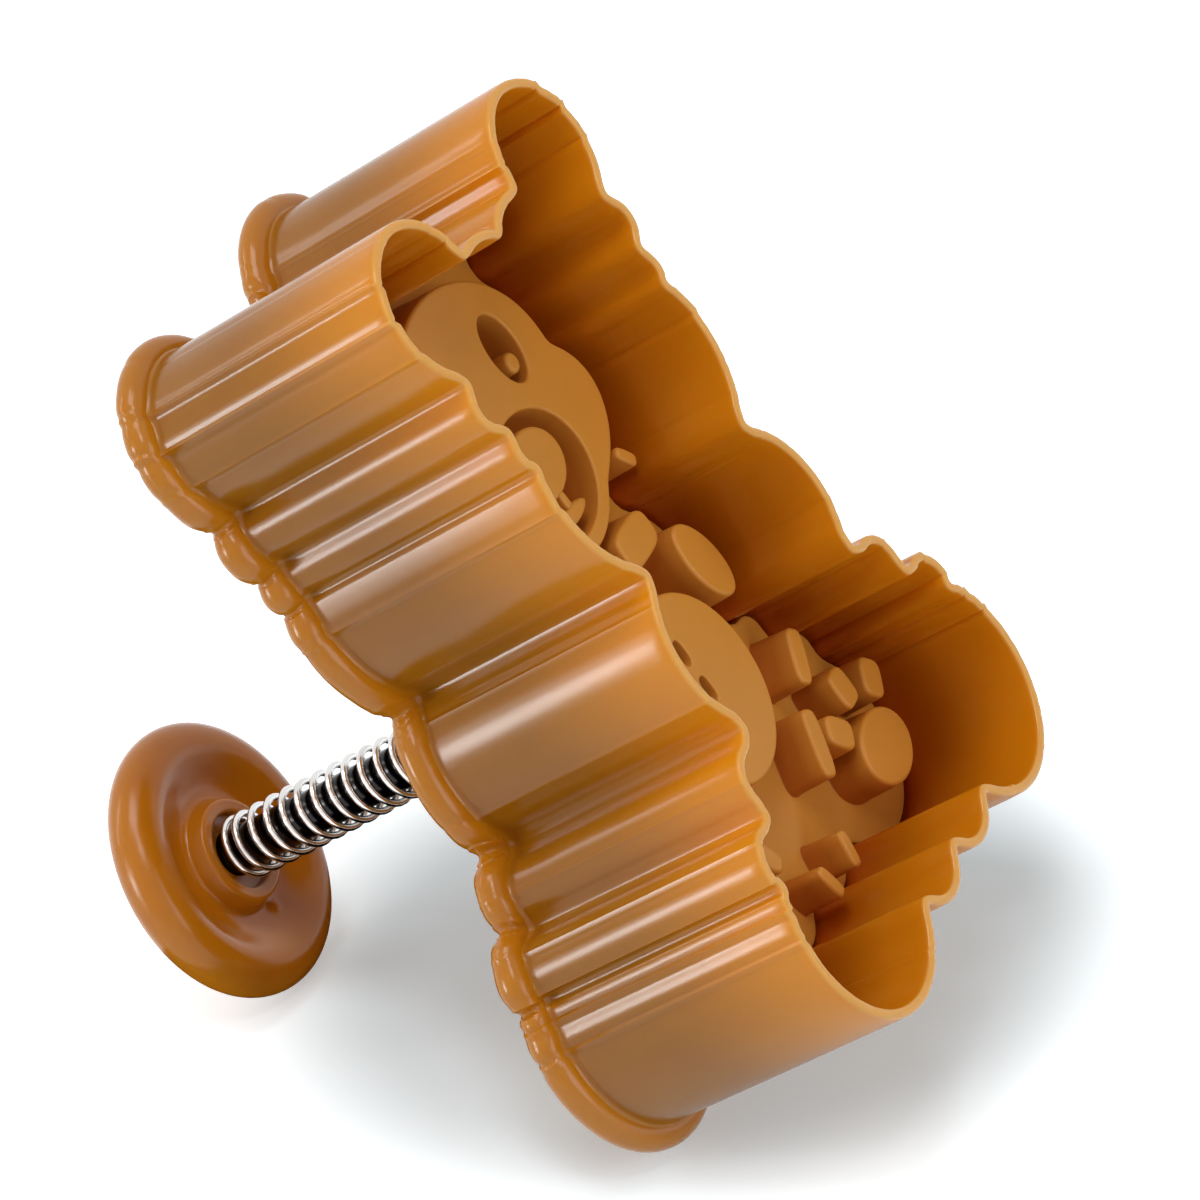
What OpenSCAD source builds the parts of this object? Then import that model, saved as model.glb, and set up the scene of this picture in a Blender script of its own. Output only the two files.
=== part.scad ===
// Plunger cookie cutter in the shape of a teddy bear, in millimetres.
// The knob's flat face stands on z = 0 and the plunger runs along +Z to the cutting edge.
// +Y points to the bear's head and +X to its left arm.

/* [Figure] */
// Height of the bear that the cutter cuts, from feet to ears
figure_h = 80; // [72:1:92]
// Radius of the valleys between the outline's lobes, outside
valley_r = 1.4; // [1.2:0.1:1.8]

/* [Shell] */
// Thickness of the cutting wall
wall_t = 1; // [0.8:0.1:1.2]
// Height of the wall from the bead's top to the cutting edge
wall_h = 26.3; // [22:0.1:32]
// Diameter of the rounded bead round the back end
bead_d = 3.2; // [2.6:0.1:3.6]
// Distance from the wall's outer face to the bead's centre line
bead_out = 0.5; // [0.3:0.1:0.8]
// Thickness of the back plate
back_t = 1.6; // [1.2:0.1:2.4]
// Outer diameter of the sleeve that guides the shaft
sleeve_d = 8.4; // [7.4:0.1:10]
// Height of the sleeve above the back plate
sleeve_h = 5; // [3:0.1:6.5]

/* [Stamp] */
// Depth of the stamp's floor under the cutting edge at rest
stamp_depth = 15.5; // [13:0.1:17]
// Thickness of the stamp's plate
stamp_t = 2.5; // [2:0.1:3]
// Height of the relief above the stamp's floor
relief_h = 4.5; // [2.5:0.1:5.5]
// Clearance between the stamp and the wall
stamp_gap = 0.35; // [0.3:0.05:0.5]
// Outer diameter of the hub under the stamp's plate
hub_d = 10; // [8:0.1:12]
// Thickness of the ribs under the stamp's plate
rib_t = 1.4; // [1:0.1:2]
// Depth of the ribs under the stamp's plate
rib_h = 2.4; // [1.5:0.1:2.8]

/* [Plunger] */
// Diameter of the polished shaft
shaft_d = 4.2; // [3.8:0.1:4.4]
// Radial clearance of the shaft in the guide sleeve
bore_gap = 0.06; // [0.03:0.01:0.09]
// Diameter of the knob
knob_d = 27; // [24:0.5:32]
// Thickness of the knob's rolled rim
rim_d = 5.2; // [5:0.1:6]
// Outer diameter of the collar round the spring's foot
collar_d = 11.4; // [10.4:0.1:12.4]
// Height of the collar above the spring's seat
collar_h = 1.2; // [0.8:0.1:1.6]
// Depth of the dish between the collar and the rim
dish_depth = 1.9; // [1.2:0.1:2.1]

/* [Spring] */
// Outside diameter of the spring
coil_d = 6.5; // [6.3:0.1:7]
// Diameter of the spring's wire
wire_d = 0.7; // [0.5:0.05:0.75]
// Length of the spring at rest
spring_h = 35; // [32:0.1:42]
// Number of open turns between the closed ends
open_turns = 15; // [12:1:16]

/* [Fasteners] */
// Outer diameter of the washer between spring and shell
washer_d = 9.2; // [8:0.1:11]
// Thickness of the washer
washer_t = 0.5; // [0.4:0.1:0.8]
// Thread diameter of the knob's screw
screw_d = 2.5; // [2:0.1:2.6]
// Length of the screw inside the shaft
screw_grip = 6; // [4:0.5:9]
// Diameter of the screw's head
head_d = 4.6; // [4:0.1:5]
// Height of the screw's head
head_h = 1.2; // [1:0.1:1.3]
// Diameter of the plug that closes the knob
plug_d = 7.6; // [6.5:0.1:9]
// Thickness of the plug
plug_t = 0.8; // [0.6:0.1:0.9]

/* [Hidden] */

// Overrun of all cuts
eps = 0.01;

// Clearances: hub over sleeve, screw head under plug, plug, spring's foot, screw, fits, washer
rest_gap = 0.05;
head_gap = 0.1;
plug_gap = 0.03;
foot_gap = 0.4;
hole_gap = 0.15;
fit_gap = 0.02;
washer_gap = 0.3;

// Knob's inside: web over the screw's head, seat of the spring and rounding of the collar
web_t = 1;
seat_rise = 1.1;
collar_round = 0.6;
round_share = 0.293;
dish_steps = 8;

// Ends of the shaft, and the socket in the screw's head
stamp_skin = 1.2;
shaft_chamfer = 0.4;
key_d = 2;
key_depth = 0.7;

// Bead's drop below the back plate, its layers, and the fineness of all arcs
bead_drop = 0.7;
bead_layers = 6;
arc_step = 18;
sharp_r = 0.2;
$fn = 32;

// Spring's winding: gap in the closed turns, bend at the ends and sides of the wire
closed_gap = 0.45;
bend_r = wire_d;
bend_turns = [30, 60];
end_turns = 1;
turn_rings = 8;
near_rings = turn_rings * 3 / 4;
wire_sides = 6;
coil_r = (coil_d - wire_d) / 2;
round_l = 2 * PI * coil_r;
closed_pitch = wire_d + closed_gap;
open_pitch = (spring_h - 2 * (wire_d + bend_r + end_turns * closed_pitch)) / open_turns;

// Heights of the parts that stand on each other, from the knob's face upwards
head_z = plug_t + head_gap;
socket_z = head_z + head_h + web_t;
seat_z = socket_z + seat_rise;
washer_z = seat_z + spring_h;
back_z = washer_z + washer_t;
bead_z = back_z - bead_drop + bead_d / 2;
edge_z = bead_z + bead_d / 2 + wall_h;
sleeve_top_z = back_z + back_t + sleeve_h;
floor_z = edge_z - stamp_depth;
stamp_z = floor_z - stamp_t;
hub_z = sleeve_top_z + rest_gap;
shaft_top_z = floor_z - stamp_skin;

// Convex lobes of the right half of the outline, counter-clockwise from the bottom middle:
// x, y and radius as shares of the figure's height
lobe_shares = [
    [0.058, -0.338, 0.065], // rump
    [0.222, -0.295, 0.133], // foot
    [0.285, -0.190, 0.040], // shin
    [0.220, -0.125, 0.043], // knee
    [0.110, 0.012, 0.115], // arm
    [0.088, 0.233, 0.140], // cheek
    [0.195, 0.308, 0.031], // lower fur tuft
    [0.208, 0.370, 0.033], // upper fur tuft
    [0.170, 0.485, 0.093], // ear
    [0.053, 0.400, 0.098], // brow
];
lobe_count = len(lobe_shares);

// Raised shapes of the stamp and the hollows in them, as shares of the figure's height:
// x, y, half width and half height
face_shares = [[0, 0.330, 0.165, 0.125], [0, 0.248, 0.192, 0.108]];
eye_share = [0.080, 0.345, 0.029, 0.042];
pupil_share = [0.080, 0.326, 0.014, 0.014];
muzzle_share = [0, 0.215, 0.115, 0.098];
mouth_hollow_share = [0, 0.215, 0.092, 0.075];
nose_share = [0, 0.232, 0.058, 0.043];
lip_share = [0, 0.183, 0.008, 0.012];
mouth_share = [0, 0.165, 0.034, 0.011];
inner_ear_share = [0.170, 0.485, 0.053, 0.053];
cheek_mark_share = [0.149, 0.152, 0.010, 0.019];
knot_share = [0, 0.082, 0.022, 0.022];
bow_share = [0.066, 0.086, 0.044, 0.026];
belly_share = [0, -0.083, 0.115, 0.118];
stitch_shares = [for (y = [-0.033, -0.083, -0.133]) [0, y, 0.007, 0.015]];
paw_share = [0.150, 0.004, 0.034, 0.056];
thigh_share = [0.188, -0.160, 0.036, 0.016];
seam_share = [0.113, -0.237, 0.043, 0.016];
rump_mark_share = [0.034, -0.336, 0.011, 0.024];
sole_share = [0.222, -0.315, 0.060, 0.045];
toe_share = [0.026, 0.021];
toe_reach_share = 0.086;

// Turns of those shapes, and how square the small blocks are
cheek_turn = 40;
paw_turn = 15;
thigh_turn = 50;
seam_turn = 60;
rump_turn = -15;
toe_turns = [45, 90, 135];
block_power = 3.4;
pad_steps = 24;

// Reach of the stamp's ribs sideways, to the feet and to the head, as shares of the height
rib_shares = [0.150, 0.280, 0.380];

// All lobes in order round the figure, in real sizes
lobes = figure_h * concat(
    lobe_shares,
    [for (i = [lobe_count - 1:-1:0]) [-lobe_shares[i].x, lobe_shares[i].y, lobe_shares[i].z]]);

// Centre of the circle of radius r that touches lobes a and b from outside
function valley_centre(a, b, r) =
    let (across = [b.x - a.x, b.y - a.y],
         span = norm(across),
         u = across / span,
         ra = a.z + r,
         rb = b.z + r,
         along = (span * span + ra * ra - rb * rb) / (2 * span),
         out = sqrt(ra * ra - along * along))
    [a.x + along * u.x + out * u.y, a.y + along * u.y - out * u.x];

function direction(from, to) = atan2(to.y - from.y, to.x - from.x);

function wrap(angle) = angle < 0 ? angle + 360 : angle;

// Points on an arc, without its last one
function arc(centre, r, start, sweep) =
    let (n = max(1, ceil(abs(sweep) / arc_step)))
    [for (i = [0:n - 1])
        [centre.x + r * cos(start + sweep * i / n), centre.y + r * sin(start + sweep * i / n)]];

// The outline moved outwards by out; lobes grow, valleys shrink and end as sharp creases
function outline(out) =
    let (n = len(lobes),
         r = max(valley_r - out, sharp_r),
         grown = [for (l = lobes) [l.x, l.y, l.z + out]],
         valleys = [for (i = [0:n - 1]) valley_centre(grown[i], grown[(i + 1) % n], r)])
    [for (i = [0:n - 1])
        let (lobe = grown[i],
             next = grown[(i + 1) % n],
             valley = valleys[i],
             enter = direction(lobe, valleys[(i + n - 1) % n]),
             turn = wrap(direction(lobe, valley) - enter),
             start = direction(valley, lobe),
             back = wrap(start - direction(valley, next)))
        each concat(arc(lobe, lobe.z, enter, turn), arc(valley, r, start, -back))];

module both_sides() {
    children();
    mirror([1, 0, 0]) children();
}

// Wall, bead, back plate and guide sleeve are moulded in one
module cutter_shell() {
    layer_h = bead_d / bead_layers;
    color("#b9772f") difference() {
        union() {
            translate([0, 0, bead_z]) linear_extrude(edge_z - bead_z) difference() {
                polygon(outline(0));
                polygon(outline(-wall_t));
            }
            translate([0, 0, back_z]) linear_extrude(back_t) polygon(outline(0));
            for (i = [0:bead_layers - 1])
                let (level = (i + 0.5) * layer_h - bead_d / 2,
                     reach = sqrt(bead_d * bead_d / 4 - level * level))
                translate([0, 0, bead_z - bead_d / 2 + i * layer_h]) linear_extrude(layer_h)
                    difference() {
                        polygon(outline(bead_out + reach));
                        polygon(outline(-wall_t));
                    }
            translate([0, 0, back_z]) cylinder(d = sleeve_d, h = back_t + sleeve_h);
        }
        translate([0, 0, back_z - eps])
            cylinder(d = shaft_d + 2 * bore_gap, h = back_t + sleeve_h + 2 * eps);
    }
}

// Flat shape between an ellipse and a rectangle, rounder for a lower power
module pad(rx, ry, power) {
    polygon([for (i = [0:pad_steps - 1])
        let (c = cos(360 * i / pad_steps), s = sin(360 * i / pad_steps))
        [rx * sign(c) * pow(abs(c), 2 / power), ry * sign(s) * pow(abs(s), 2 / power)]]);
}

// A pad at the place and size that its shares give
module raised(share, turn = 0, power = 2) {
    translate(figure_h * [share[0], share[1]]) rotate(turn)
        pad(figure_h * share[2], figure_h * share[3], power);
}

module head_relief() {
    difference() {
        union() {
            for (share = face_shares) raised(share);
            raised(muzzle_share);
        }
        both_sides() raised(eye_share);
        raised(mouth_hollow_share);
    }
    raised(nose_share);
    raised(lip_share, 0, block_power);
    raised(mouth_share);
    both_sides() {
        raised(pupil_share);
        raised(inner_ear_share);
        raised(cheek_mark_share, cheek_turn, block_power);
    }
}

module body_relief() {
    difference() {
        raised(belly_share);
        for (share = stitch_shares) raised(share, 0, block_power);
    }
    raised(knot_share);
    both_sides() {
        raised(bow_share, 0, block_power);
        raised(paw_share, paw_turn);
        raised(thigh_share, thigh_turn, block_power);
        raised(seam_share, seam_turn, block_power);
        raised(rump_mark_share, rump_turn, block_power);
    }
}

module foot_relief() {
    reach = figure_h * toe_reach_share;
    both_sides() {
        raised(sole_share);
        translate(figure_h * [sole_share[0], sole_share[1]])
            for (turn = toe_turns) rotate(turn) translate([reach, 0])
                pad(figure_h * toe_share[0], figure_h * toe_share[1], block_power);
    }
}

module shaft_bore(bottom, top, gap) {
    translate([0, 0, bottom]) cylinder(d = shaft_d + 2 * gap, h = top - bottom);
}

// Plate that presses the relief into the dough, with the hub that holds the shaft
module stamp_plate() {
    reach = figure_h * rib_shares;
    color("#a87436") difference() {
        union() {
            translate([0, 0, stamp_z]) linear_extrude(stamp_t)
                polygon(outline(-wall_t - stamp_gap));
            translate([0, 0, floor_z]) linear_extrude(relief_h) {
                head_relief();
                body_relief();
                foot_relief();
            }
            translate([0, 0, hub_z]) cylinder(d = hub_d, h = stamp_z - hub_z);
            translate([-reach[0], -rib_t / 2, stamp_z - rib_h]) cube([2 * reach[0], rib_t, rib_h]);
            translate([-rib_t / 2, -reach[1], stamp_z - rib_h])
                cube([rib_t, reach[1] + reach[2], rib_h]);
        }
        shaft_bore(hub_z - eps, shaft_top_z, fit_gap);
    }
}

// Polished shaft, pressed into the stamp's hub and screwed to the knob
module plunger_shaft() {
    r = shaft_d / 2;
    color("#8d8d90") difference() {
        rotate_extrude() polygon([
            [0, socket_z],
            [r - shaft_chamfer, socket_z],
            [r, socket_z + shaft_chamfer],
            [r, shaft_top_z - shaft_chamfer],
            [r - shaft_chamfer, shaft_top_z],
            [0, shaft_top_z],
        ]);
        translate([0, 0, socket_z - eps])
            cylinder(d = screw_d + 2 * fit_gap, h = screw_grip + shaft_chamfer + eps);
    }
}

// Half section of the knob: rolled rim, dish that rises to it, and collar round the spring
module knob_section() {
    rim_r = knob_d / 2 - rim_d / 2;
    dish_z = rim_d - dish_depth;
    collar_r = collar_d / 2;
    collar_top = seat_z + collar_h;
    translate([rim_r, rim_d / 2]) circle(d = rim_d);
    polygon(concat(
        [[0, 0], [rim_r, 0]],
        [for (i = [dish_steps:-1:0])
            let (share = i / dish_steps)
            [collar_r + (rim_r - collar_r) * share, dish_z + dish_depth * (1 - cos(180 * share)) / 2]],
        [[collar_r, collar_top - collar_round],
         [collar_r - collar_round * round_share, collar_top - collar_round * round_share],
         [collar_r - collar_round, collar_top],
         [0, collar_top]]));
}

// Round knob that the thumb presses, flat on its face
module plunger_knob() {
    color("#a2641f") difference() {
        rotate_extrude() knob_section();
        translate([0, 0, seat_z]) cylinder(d = coil_d + 2 * foot_gap, h = collar_h + eps);
        shaft_bore(socket_z, seat_z + eps, fit_gap);
        cylinder(d = screw_d + 2 * hole_gap, h = socket_z + eps);
        translate([0, 0, -eps]) cylinder(d = head_d + 2 * hole_gap, h = head_z + head_h + eps);
        translate([0, 0, -eps])
            cylinder(d = plug_d + 2 * plug_gap, h = plug_t + eps);
    }
}

// Stations of the spring's path on its unrolled cylinder: distance round, height and slope
spring_path =
    let (turns = open_turns + 2 * end_turns,
         rings = turn_rings * turns,
         bend = [for (turn = bend_turns) [bend_r * (1 - cos(turn)), wire_d + bend_r * sin(turn), 90 - turn]],
         foot = concat([[0, 0, 90], [0, wire_d, 90]], bend),
         length = 2 * bend_r + turns * round_l)
    concat(
        foot,
        [for (i = [0:rings])
            let (done = i / turn_rings,
                 closed = min(done, end_turns) + max(done - open_turns - end_turns, 0),
                 opened = done - closed,
                 pitch = done < end_turns || done > turns - end_turns ? closed_pitch : open_pitch)
            [bend_r + done * round_l, wire_d + bend_r + closed * closed_pitch + opened * open_pitch,
             atan(pitch / round_l)]],
        [for (i = [len(foot) - 1:-1:0]) [length - foot[i][0], spring_h - foot[i][1], foot[i][2]]]);

function around(station) = 360 * station[0] / round_l;

function on_coil(station) =
    [coil_r * cos(around(station)), coil_r * sin(around(station)), seat_z + station[1]];

// Ring of points round the wire at a station, square to the path there
function wire_ring(station) =
    let (turn = around(station),
         outwards = [cos(turn), sin(turn), 0],
         sideways = [-sin(turn) * sin(station[2]), cos(turn) * sin(station[2]), -cos(station[2])])
    [for (i = [0:wire_sides - 1])
        on_coil(station) + wire_d / 2
            * (cos(360 * i / wire_sides) * outwards + sin(360 * i / wire_sides) * sideways)];

// Least distance between the wire's surfaces on different turns
function spring_gap() =
    let (centres = [for (station = spring_path) on_coil(station)], n = len(centres))
    min([for (i = [0:n - 1]) for (j = [i + near_rings:1:n - 1]) norm(centres[i] - centres[j])]) - wire_d;

// Compression spring round the shaft, one unbroken wire with both ends closed
module return_spring() {
    n = len(spring_path);
    s = wire_sides;
    echo("Least gap between the spring's turns, mm", spring_gap());
    color("#d9d9dc") polyhedron(
        points = [for (station = spring_path) each wire_ring(station)],
        faces = concat(
            [for (j = [1:s - 2]) [0, j, j + 1]],
            [for (i = [0:n - 2]) for (j = [0:s - 1])
                let (k = (j + 1) % s)
                each [[i * s + j, (i + 1) * s + j, (i + 1) * s + k],
                      [i * s + j, (i + 1) * s + k, i * s + k]]],
            [for (j = [1:s - 2]) [(n - 1) * s, (n - 1) * s + j + 1, (n - 1) * s + j]]));
}

// Washer that spreads the spring's load on the back plate
module spring_washer() {
    color("#c9c9cc") difference() {
        translate([0, 0, washer_z]) cylinder(d = washer_d, h = washer_t);
        shaft_bore(washer_z - eps, back_z + eps, washer_gap);
    }
}

// Screw that holds the knob on the shaft, with a hexagonal socket
module knob_screw() {
    color("#b5b5b8") difference() {
        union() {
            translate([0, 0, head_z]) cylinder(d = head_d, h = head_h);
            translate([0, 0, head_z]) cylinder(d = screw_d, h = socket_z - head_z + screw_grip);
        }
        translate([0, 0, head_z - eps]) cylinder(d = key_d, h = key_depth + eps, $fn = 6);
    }
}

// Plug that closes the screw's hole in the knob's face
module knob_plug() {
    color("#a2641f") cylinder(d = plug_d, h = plug_t);
}

cutter_shell();
stamp_plate();
plunger_shaft();
plunger_knob();
return_spring();
spring_washer();
knob_screw();
knob_plug();
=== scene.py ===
import functools
import math
from collections import namedtuple

import bmesh
import bpy
from mathutils import Matrix, Vector, noise


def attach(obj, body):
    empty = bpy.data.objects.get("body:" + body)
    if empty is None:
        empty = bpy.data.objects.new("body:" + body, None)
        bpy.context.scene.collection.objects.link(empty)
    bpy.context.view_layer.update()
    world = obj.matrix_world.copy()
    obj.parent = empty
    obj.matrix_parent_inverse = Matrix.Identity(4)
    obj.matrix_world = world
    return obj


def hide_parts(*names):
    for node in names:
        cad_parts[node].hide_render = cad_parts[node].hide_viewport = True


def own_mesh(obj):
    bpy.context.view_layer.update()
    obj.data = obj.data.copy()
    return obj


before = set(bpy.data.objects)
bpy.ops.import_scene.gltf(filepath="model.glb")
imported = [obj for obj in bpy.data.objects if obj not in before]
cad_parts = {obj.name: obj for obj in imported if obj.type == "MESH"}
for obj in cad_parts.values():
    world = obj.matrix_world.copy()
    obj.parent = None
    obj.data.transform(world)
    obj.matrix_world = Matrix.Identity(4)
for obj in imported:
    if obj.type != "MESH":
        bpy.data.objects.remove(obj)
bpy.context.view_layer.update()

bl_info = {
    "name": "Plunger Cookie Cutter",
    "version": (1, 0, 0),
    "blender": (4, 5, 0),
    "location": "3D View > Sidebar > Cutter",
    "description": "Dresses the frame of a plunger cookie cutter in its moulded plastic, spring and shaft",
    "category": "Object",
}

TAU = math.tau
MM = 0.001

# The cutter's heights in millimetres, from the knob's face upwards
SOCKET_Z = 3.1  # bottom of the shaft's socket in the knob
SEAT_Z = 4.2  # spring's seat on the knob
WASHER_Z = 39.2  # washer's lower face
BACK_Z = 39.7  # back face of the shell
BEAD_Z = 40.6  # bead's centre line
BACK_TOP_Z = 41.3  # inner face of the back plate
SLEEVE_TOP_Z = 46.3  # upper end of the guide sleeve
HUB_Z = 46.35  # lower end of the stamp's hub
STAMP_Z = 50.5  # underside of the stamp's plate
SHAFT_TOP_Z = 51.8  # upper end of the shaft
FLOOR_Z = 53.0  # stamp's floor between its raised shapes
EDGE_Z = 68.5  # cutting edge

FIGURE_H = 80

# Radius of the valleys between the lobes, its least outside the wall, and that least's growth
VALLEY_R = 1.4
SHARP_R = 0.2
SHARP_GROWTH = 0.4

# Groove in the middle of each valley: depth and half width in millimetres
VALLEY_GROOVE = (0.27, 0.45)

# How far the bead draws in at a fold, as a share of the fold's height, and over which half width
FOLD_PINCH = (2.2, 0.7)

# Half width of the bead's drawn-in place at a valley; height, distance and half width of the
# swelling beside it
VALLEY_PINCH_W = 1.1
SWELLING = (0.35, 2.4, 1.1)

# Round lobes of the outline's right half, counter-clockwise from the bottom middle:
# x, y and radius as shares of the figure's height
HALF_LOBES = [
    (0.058, -0.338, 0.065),  # rump
    (0.222, -0.295, 0.133),  # foot
    (0.285, -0.190, 0.040),  # shin
    (0.220, -0.125, 0.043),  # knee
    (0.110, 0.012, 0.115),  # arm
    (0.088, 0.233, 0.140),  # cheek
    (0.195, 0.308, 0.031),  # lower fur tuft
    (0.208, 0.370, 0.033),  # upper fur tuft
    (0.170, 0.485, 0.093),  # ear
    (0.053, 0.400, 0.098),  # brow
]
LOBES = [tuple(FIGURE_H * v for v in lobe) for lobe in HALF_LOBES]
LOBES += [(-x, y, r) for x, y, r in reversed(LOBES)]

# Folds drawn along the wall on the right half: lobe, direction from the lobe's centre in degrees,
# the groove's depth and half width, then the height and run of the lip that rises to it from
# larger angles, or from smaller ones where the run is negative; millimetres
FOLDS = [
    (1, 31, 0.28, 0.55, 0.24, 1.1),
    (1, 16, 0.24, 0.60, 0.26, 1.1),
    (1, -118, 0.16, 0.60, 0.00, 1.0),
    (2, 62, 0.12, 0.50, 0.28, 1.1),
    (2, -6, 0.08, 0.50, 0.28, 1.1),
    (3, 28, 0.06, 0.40, 0.14, 0.8),
    (4, 44, 0.12, 0.50, 0.06, 0.8),
    (4, -16, 0.08, 1.00, 0.14, 1.6),
    (5, 4, 0.10, 0.55, 0.36, 1.3),
    (5, -40, 0.06, 1.10, 0.06, 1.6),
    (8, 158, 0.14, 0.45, 0.26, -1.0),
    (8, 139, 0.06, 0.50, 0.14, -1.0),
    (8, 78, 0.06, 0.70, 0.00, 1.0),
    (8, 41, 0.14, 0.42, 0.36, 1.7),
    (8, 15, 0.18, 0.45, 0.50, 1.3),
    (8, -12, 0.12, 0.70, 0.30, 1.7),
]


def mm(metres):
    """A setting's metres as the millimetres that the pieces are modelled in."""
    return metres / MM


def bell(away, half_width):
    """A smooth hill of height 1 round zero."""
    return math.exp(-((away / half_width) ** 2))


def unit(degrees):
    """Cosine and sine of an angle."""
    angle = math.radians(degrees)
    return math.cos(angle), math.sin(angle)


# Outline of the figure

Station = namedtuple("Station", "arc share run wave pinch")


def direction(start, end):
    """Angle of the way from one point to another."""
    return math.atan2(end[1] - start[1], end[0] - start[0])


def valley_centre(a, b, r):
    """Centre of the circle of radius r that touches lobes a and b from outside."""
    span = math.hypot(b[0] - a[0], b[1] - a[1])
    ux, uy = (b[0] - a[0]) / span, (b[1] - a[1]) / span
    ra, rb = a[2] + r, b[2] + r
    along = (span * span + ra * ra - rb * rb) / (2 * span)
    out = math.sqrt(ra * ra - along * along)
    return a[0] + along * ux + out * uy, a[1] + along * uy - out * ux


@functools.lru_cache(maxsize=None)
def arcs(out):
    """Arcs of the outline moved outwards: centre, radius, first angle, sweep and outward side."""
    r = max(VALLEY_R - out, SHARP_R + SHARP_GROWTH * max(out, 0.0))
    grown = [(x, y, lobe_r + out) for x, y, lobe_r in LOBES]
    following = grown[1:] + grown[:1]
    valleys = [valley_centre(a, b, r) for a, b in zip(grown, following)]
    found = []
    for i, (lobe, after) in enumerate(zip(grown, following)):
        enter = direction(lobe, valleys[i - 1])
        turn = (direction(lobe, valleys[i]) - enter) % TAU
        start = direction(valleys[i], lobe)
        back = (start - direction(valleys[i], after)) % TAU
        found.append((lobe[:2], lobe[2], enter, turn, 1))
        found.append((valleys[i], r, start, -back, -1))
    return found


def folds_on(lobe):
    """The folds on a lobe of either half."""
    if lobe < len(HALF_LOBES):
        return [fold[1:] for fold in FOLDS if fold[0] == lobe]
    return [(180 - fold[1], *fold[2:5], -fold[5]) for fold in FOLDS
            if fold[0] == len(LOBES) - 1 - lobe]


def fold_wave(away, dip, w, lift, run):
    """Height of a fold at a signed distance past its groove, seen from the lip's side."""
    if away < 0:
        return lift * math.exp(away / abs(run)) - dip * bell(away, w)
    drop = bell(away, 0.8 * w)
    return lift * drop - dip * (1 - drop) * math.exp(-away / w)


@functools.lru_cache(maxsize=None)
def stations(spacing):
    """Places round the outline: arc, share of it, run from the start, folds and bead's pinch.
    Even arcs are lobes and odd ones the valleys between them."""
    groove, groove_w = VALLEY_GROOVE
    fold_pinch, fold_pinch_w = FOLD_PINCH
    swelling, swelling_at, swelling_w = SWELLING
    found, run = [], 0.0
    for i, (_, r, first, sweep, _) in enumerate(arcs(0.0)):
        length = r * abs(sweep)
        steps = max(3, math.ceil(length / spacing))
        for k in range(steps):
            share = k / steps
            wave = pinch = 0.0
            if i % 2 == 0:
                for angle, dip, w, lift, lip_run in folds_on(i // 2):
                    away = (math.radians(angle) - first - sweep * share + math.pi) % TAU - math.pi
                    away *= math.copysign(r, lip_run)
                    wave += fold_wave(away, dip, w, lift, lip_run)
                    pinch = max(pinch, fold_pinch * (dip + 0.5 * lift) * bell(away, fold_pinch_w))
                to_valley = min(share, 1 - share) * length + 0.5 * VALLEY_R
            else:
                to_valley = abs(share - 0.5) * length
                wave = -groove * bell(to_valley, groove_w)
            pinch = max(pinch, bell(to_valley, VALLEY_PINCH_W))
            pinch -= swelling * bell(to_valley - swelling_at, swelling_w)
            found.append(Station(i, share, run + share * length, wave, pinch))
        run += length
    return found


def outline(out, z, spacing, shift=None):
    """Ring round the figure; shift gives each station's further reach and height."""
    bent = arcs(round(out, 5))
    ring = []
    for station in stations(spacing):
        centre, r, first, sweep, side = bent[station.arc]
        angle = first + sweep * station.share
        further, lift = shift(station) if shift else (0.0, 0.0)
        reach = r + side * further
        ring.append(Vector((centre[0] + reach * math.cos(angle),
                            centre[1] + reach * math.sin(angle), z + lift)))
    return ring


def circle(r, z):
    """Ring of 64 points round the plunger's axis."""
    return [Vector((r * c, r * s, z)) for c, s in [unit(360 * k / 64) for k in range(64)]]


def rounded(centre, start, sweep, r, steps):
    """Points of an arc in a section: centre, first angle and sweep in degrees."""
    turns = [unit(start + sweep * k / steps) for k in range(steps + 1)]
    return [(centre[0] + r * c, centre[1] + r * s) for c, s in turns]


# Modelling in edit mode

def added(name, operator, **settings):
    """The object that an operator adds, under the given name."""
    bpy.ops.object.select_all(action="DESELECT")
    operator(**settings)
    found = bpy.context.active_object
    found.name = found.data.name = name
    return found


def start_piece(name):
    """An empty mesh in edit mode, with room for each point's number on its ring, its patch and its depth
    inside the cutter, which sets the painted shade."""
    piece = added(name, bpy.ops.object.add, type="MESH", location=(0, 0, 0))
    bpy.ops.object.mode_set(mode="EDIT")
    bm = bmesh.from_edit_mesh(piece.data)
    bm.verts.layers.int.new("number")
    bm.verts.layers.int.new("patch")
    bm.verts.layers.float.new("depth")
    return piece


def lay(piece, points, patch, depth, fresh=False):
    """Lays the selected ring's points on the given ones; a fresh ring is numbered first."""
    bm = bmesh.from_edit_mesh(piece.data)
    number, patches = bm.verts.layers.int["number"], bm.verts.layers.int["patch"]
    depths = bm.verts.layers.float["depth"]
    for k, vert in enumerate([v for v in bm.verts if v.select]):
        if fresh:
            vert[number] = k
        vert.co = points[vert[number]]
        vert[patches] = patch
        vert[depths] = depth
    bmesh.update_edit_mesh(piece.data)


def loft(piece, rings, first_patch=0, last_patch=0, depths=()):
    """Lays a circle on the first ring and extrudes it on to each of the next; depths gives each of the
    first rings a value from 0 to 1 of the depth attribute, its depth inside the cutter or its share of
    painted shade."""
    bpy.ops.mesh.select_all(action="DESELECT")
    bpy.ops.mesh.primitive_circle_add(vertices=len(rings[0]), radius=1)
    depths = list(depths) + [0.0] * (len(rings) - len(depths))
    lay(piece, rings[0], first_patch, depths[0], fresh=True)
    for ring, depth in zip(rings[1:], depths[1:]):
        bpy.ops.mesh.extrude_edges_indiv()
        lay(piece, ring, last_patch if ring is rings[-1] else 0, depth)


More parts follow.
